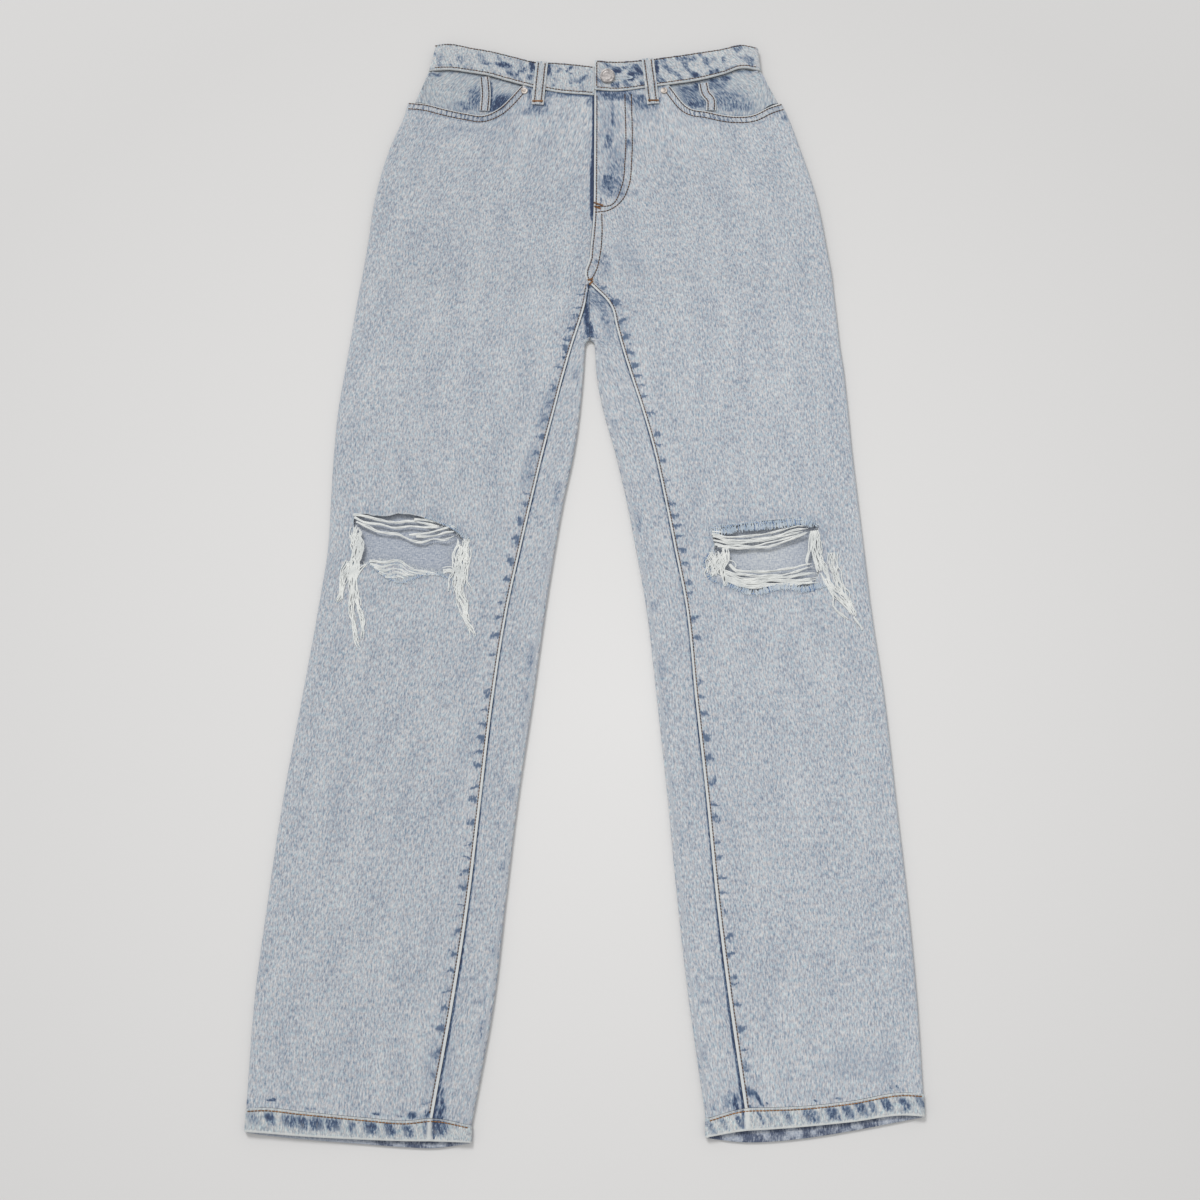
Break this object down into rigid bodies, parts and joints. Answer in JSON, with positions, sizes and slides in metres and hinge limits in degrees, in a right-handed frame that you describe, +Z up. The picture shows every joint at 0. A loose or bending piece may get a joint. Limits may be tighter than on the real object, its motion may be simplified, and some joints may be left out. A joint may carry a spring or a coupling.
{
  "type": "ripped jeans",
  "caption": "Straight-leg jeans with torn knees, laid flat on their back with the front up, waistband buttoned and legs slightly apart.",
  "frame": {"origin": "on the surface that the jeans lie on, under the middle of their bounding box", "axes": "+Y from the hems towards the waist, +X towards the wearer's left leg, +Z up off the surface, so the front of the jeans faces +Z"},
  "size_m": [0.592, 1.0924, 0.0141],
  "materials": {
    "cloth": "pale stone-washed twill denim, matt",
    "threads": "loose off-white weft threads, matt",
    "metal": "worn antique silver, dull"
  },
  "bodies": {
    "root": {"front_panel_left": "cloth", "front_panel_right": "cloth", "back_panel_left": "cloth", "back_panel_right": "cloth", "yoke_left": "cloth", "yoke_right": "cloth", "pocket_facing_left": "cloth", "pocket_facing_right": "cloth", "facing_strip_left": "cloth", "facing_strip_right": "cloth", "waistband": "cloth", "belt_loop_front_left": "cloth", "belt_loop_front_right": "cloth", "belt_loop_back_left": "cloth", "belt_loop_back_middle": "cloth", "belt_loop_back_right": "cloth", "back_pocket_left": "cloth", "back_pocket_right": "cloth", "hem_left": "cloth", "hem_right": "cloth", "knee_left_upper_threads": "threads", "knee_left_lower_threads": "threads", "knee_left_outer_fringe": "threads", "knee_left_inner_fringe": "threads", "knee_right_upper_threads": "threads", "knee_right_lower_threads": "threads", "knee_right_outer_fringe": "threads", "knee_right_inner_fringe": "threads", "button": "metal", "rivet_left": "metal", "rivet_right": "metal"}
  },
  "joints": []
}
